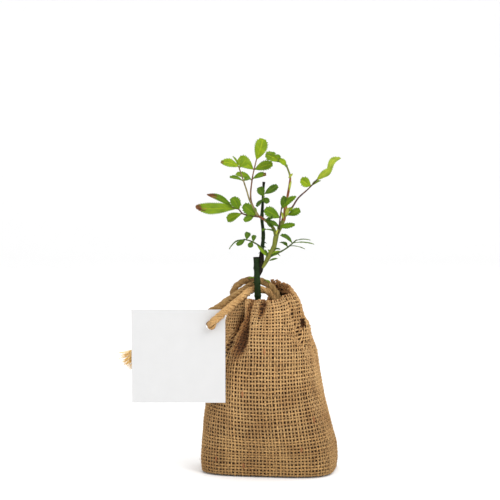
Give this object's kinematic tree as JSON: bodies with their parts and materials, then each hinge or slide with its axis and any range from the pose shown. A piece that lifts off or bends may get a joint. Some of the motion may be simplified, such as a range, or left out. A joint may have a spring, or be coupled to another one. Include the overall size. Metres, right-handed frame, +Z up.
{
  "type": "young rose plant on its root ball in a burlap bag",
  "caption": "Young rose plant with fresh toothed leaflets on its root ball, stood in a gathered burlap bag that is tied with jute cord and carries a blank hanging card.",
  "frame": {"origin": "centre of the bag's flat underside, on the surface it stands on", "axes": "+Z up along the stem, +X to the right of someone facing the front, +Y towards the back"},
  "size_m": [0.1707, 0.079, 0.2486],
  "materials": {
    "burlap": "coarse open plain weave, matt",
    "compost": "moist dark compost, matt",
    "old_stem": "smooth dark green bark",
    "young_stem": "smooth yellow-green bark flushed red",
    "foliage": "thin satin leaf",
    "jute_cord": "twisted jute, hairy and matt",
    "blank_card": "plain uncoated card"
  },
  "bodies": {
    "root": {"burlap_bag": "burlap", "root_ball": "compost", "main_stem": "old_stem", "upright_cane": "old_stem", "new_shoot": "young_stem", "side_shoot": "young_stem", "shoot_top": "young_stem", "tie_loop": "jute_cord", "tie_front_leg": "jute_cord", "tie_back_leg": "jute_cord", "tie_frayed_end": "jute_cord", "hang_card": "blank_card", "leaf_top": "foliage", "leaf_upper_left": "foliage", "leaf_left": "foliage", "leaf_lower_left": "foliage", "leaf_lower_right": "foliage", "leaf_right": "foliage", "leaf_middle": "foliage", "leaf_cane": "foliage", "leaf_inner": "foliage", "leaf_fork": "foliage", "furled_tip": "foliage"}
  },
  "joints": []
}
